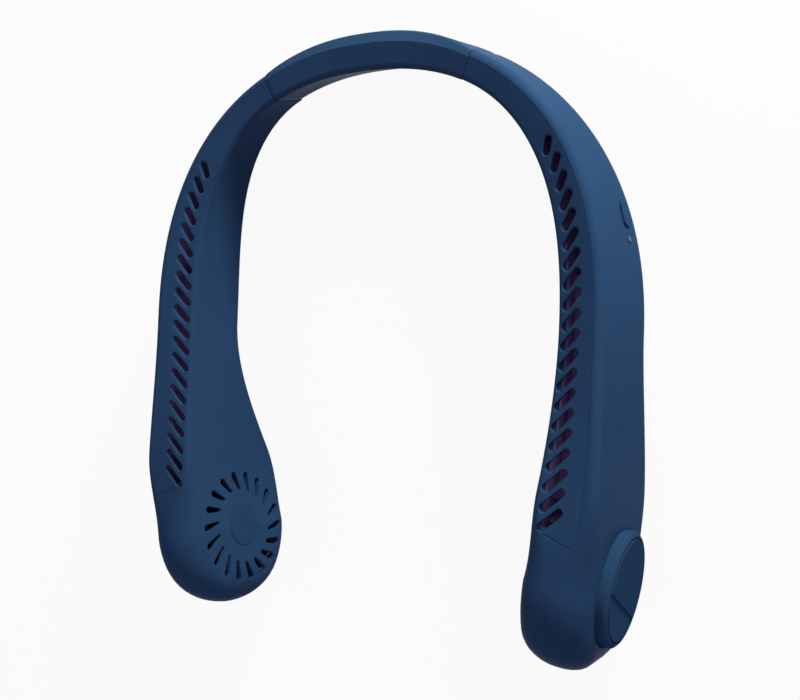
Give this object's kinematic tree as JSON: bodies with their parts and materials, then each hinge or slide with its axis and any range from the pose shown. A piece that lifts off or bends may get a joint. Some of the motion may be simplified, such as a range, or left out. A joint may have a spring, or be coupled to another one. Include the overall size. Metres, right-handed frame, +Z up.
{
  "type": "neck fan",
  "caption": "Wearable neck fan: rigid arms with slanted air outlets, swirled intake grilles and blowers in the end bulbs, joined by a soft flexing neck band.",
  "frame": {"origin": "on the floor under the middle of the fan, which lies on its back edge with the louvres up", "axes": "+Z up, +Y from the open ends towards the neck band, +X towards the arm with the power button"},
  "size_m": [0.1814, 0.2022, 0.0563],
  "materials": {
    "navy_plastic": "satin",
    "dark_plastic": "matte",
    "black_plastic": "matte",
    "soft_sleeve": "satin",
    "steel": "satin",
    "magnet": "matte",
    "copper": "gloss",
    "cell_foil": "satin",
    "cable": "matte",
    "board": "satin",
    "clear_plastic": "gloss"
  },
  "bodies": {
    "left_arm": {"left_outer_shell": "navy_plastic", "left_inner_shell": "navy_plastic", "left_louvre_panel": "navy_plastic", "left_cap_ring": "navy_plastic", "left_cap_face": "navy_plastic", "left_grille_cap": "navy_plastic", "left_scroll": "dark_plastic", "left_stator_core": "steel", "left_windings": "copper", "left_bearings": "steel", "left_motor_base": "black_plastic", "left_motor_screws": "steel", "left_battery": "cell_foil", "left_carrier": "dark_plastic", "left_strip_pin": "steel", "neck_sleeve": "soft_sleeve", "spring_strip": "steel", "link_cable": "cable"},
    "right_arm": {"right_outer_shell": "navy_plastic", "right_inner_shell": "navy_plastic", "right_louvre_panel": "navy_plastic", "right_cap_ring": "navy_plastic", "right_cap_face": "navy_plastic", "right_grille_cap": "navy_plastic", "right_scroll": "dark_plastic", "right_stator_core": "steel", "right_windings": "copper", "right_bearings": "steel", "right_motor_base": "black_plastic", "right_motor_screws": "steel", "right_battery": "cell_foil", "right_carrier": "dark_plastic", "right_strip_pin": "steel", "control_board": "board", "tact_switch": "black_plastic", "light_pipe": "clear_plastic", "charging_port": "steel", "board_screws": "steel"},
    "left_rotor": {"left_impeller": "black_plastic", "left_rotor_can": "steel", "left_magnet_ring": "magnet", "left_shaft": "steel"},
    "right_rotor": {"right_impeller": "black_plastic", "right_rotor_can": "steel", "right_magnet_ring": "magnet", "right_shaft": "steel"},
    "button": {"power_button": "navy_plastic"}
  },
  "joints": [
    {"name": "neck_flex", "type": "hinge", "parent": "left_arm", "child": "right_arm", "pos_m": [0, 0.09489, 0.00872], "axis": [0, 0.2015, 0.9795], "range_deg": [-4, 14], "stiffness_Nm_per_rad": 1.2, "deforming": ["neck_sleeve", "spring_strip", "link_cable"]},
    {"name": "left_impeller_spin", "type": "hinge", "parent": "left_arm", "child": "left_rotor", "pos_m": [-0.07268, -0.07319, 0.02835], "axis": [-0.9902, -0.1374, -0.0252], "continuous": true},
    {"name": "right_impeller_spin", "type": "hinge", "parent": "right_arm", "child": "right_rotor", "pos_m": [0.07268, -0.07319, 0.02835], "axis": [0.9902, -0.1374, -0.0252], "continuous": true},
    {"name": "power_button_press", "type": "slide", "parent": "right_arm", "child": "button", "axis": [-0.9507, -0.2895, -0.1108], "range_m": [0, 0.0005], "stiffness_N_per_m": 800}
  ]
}
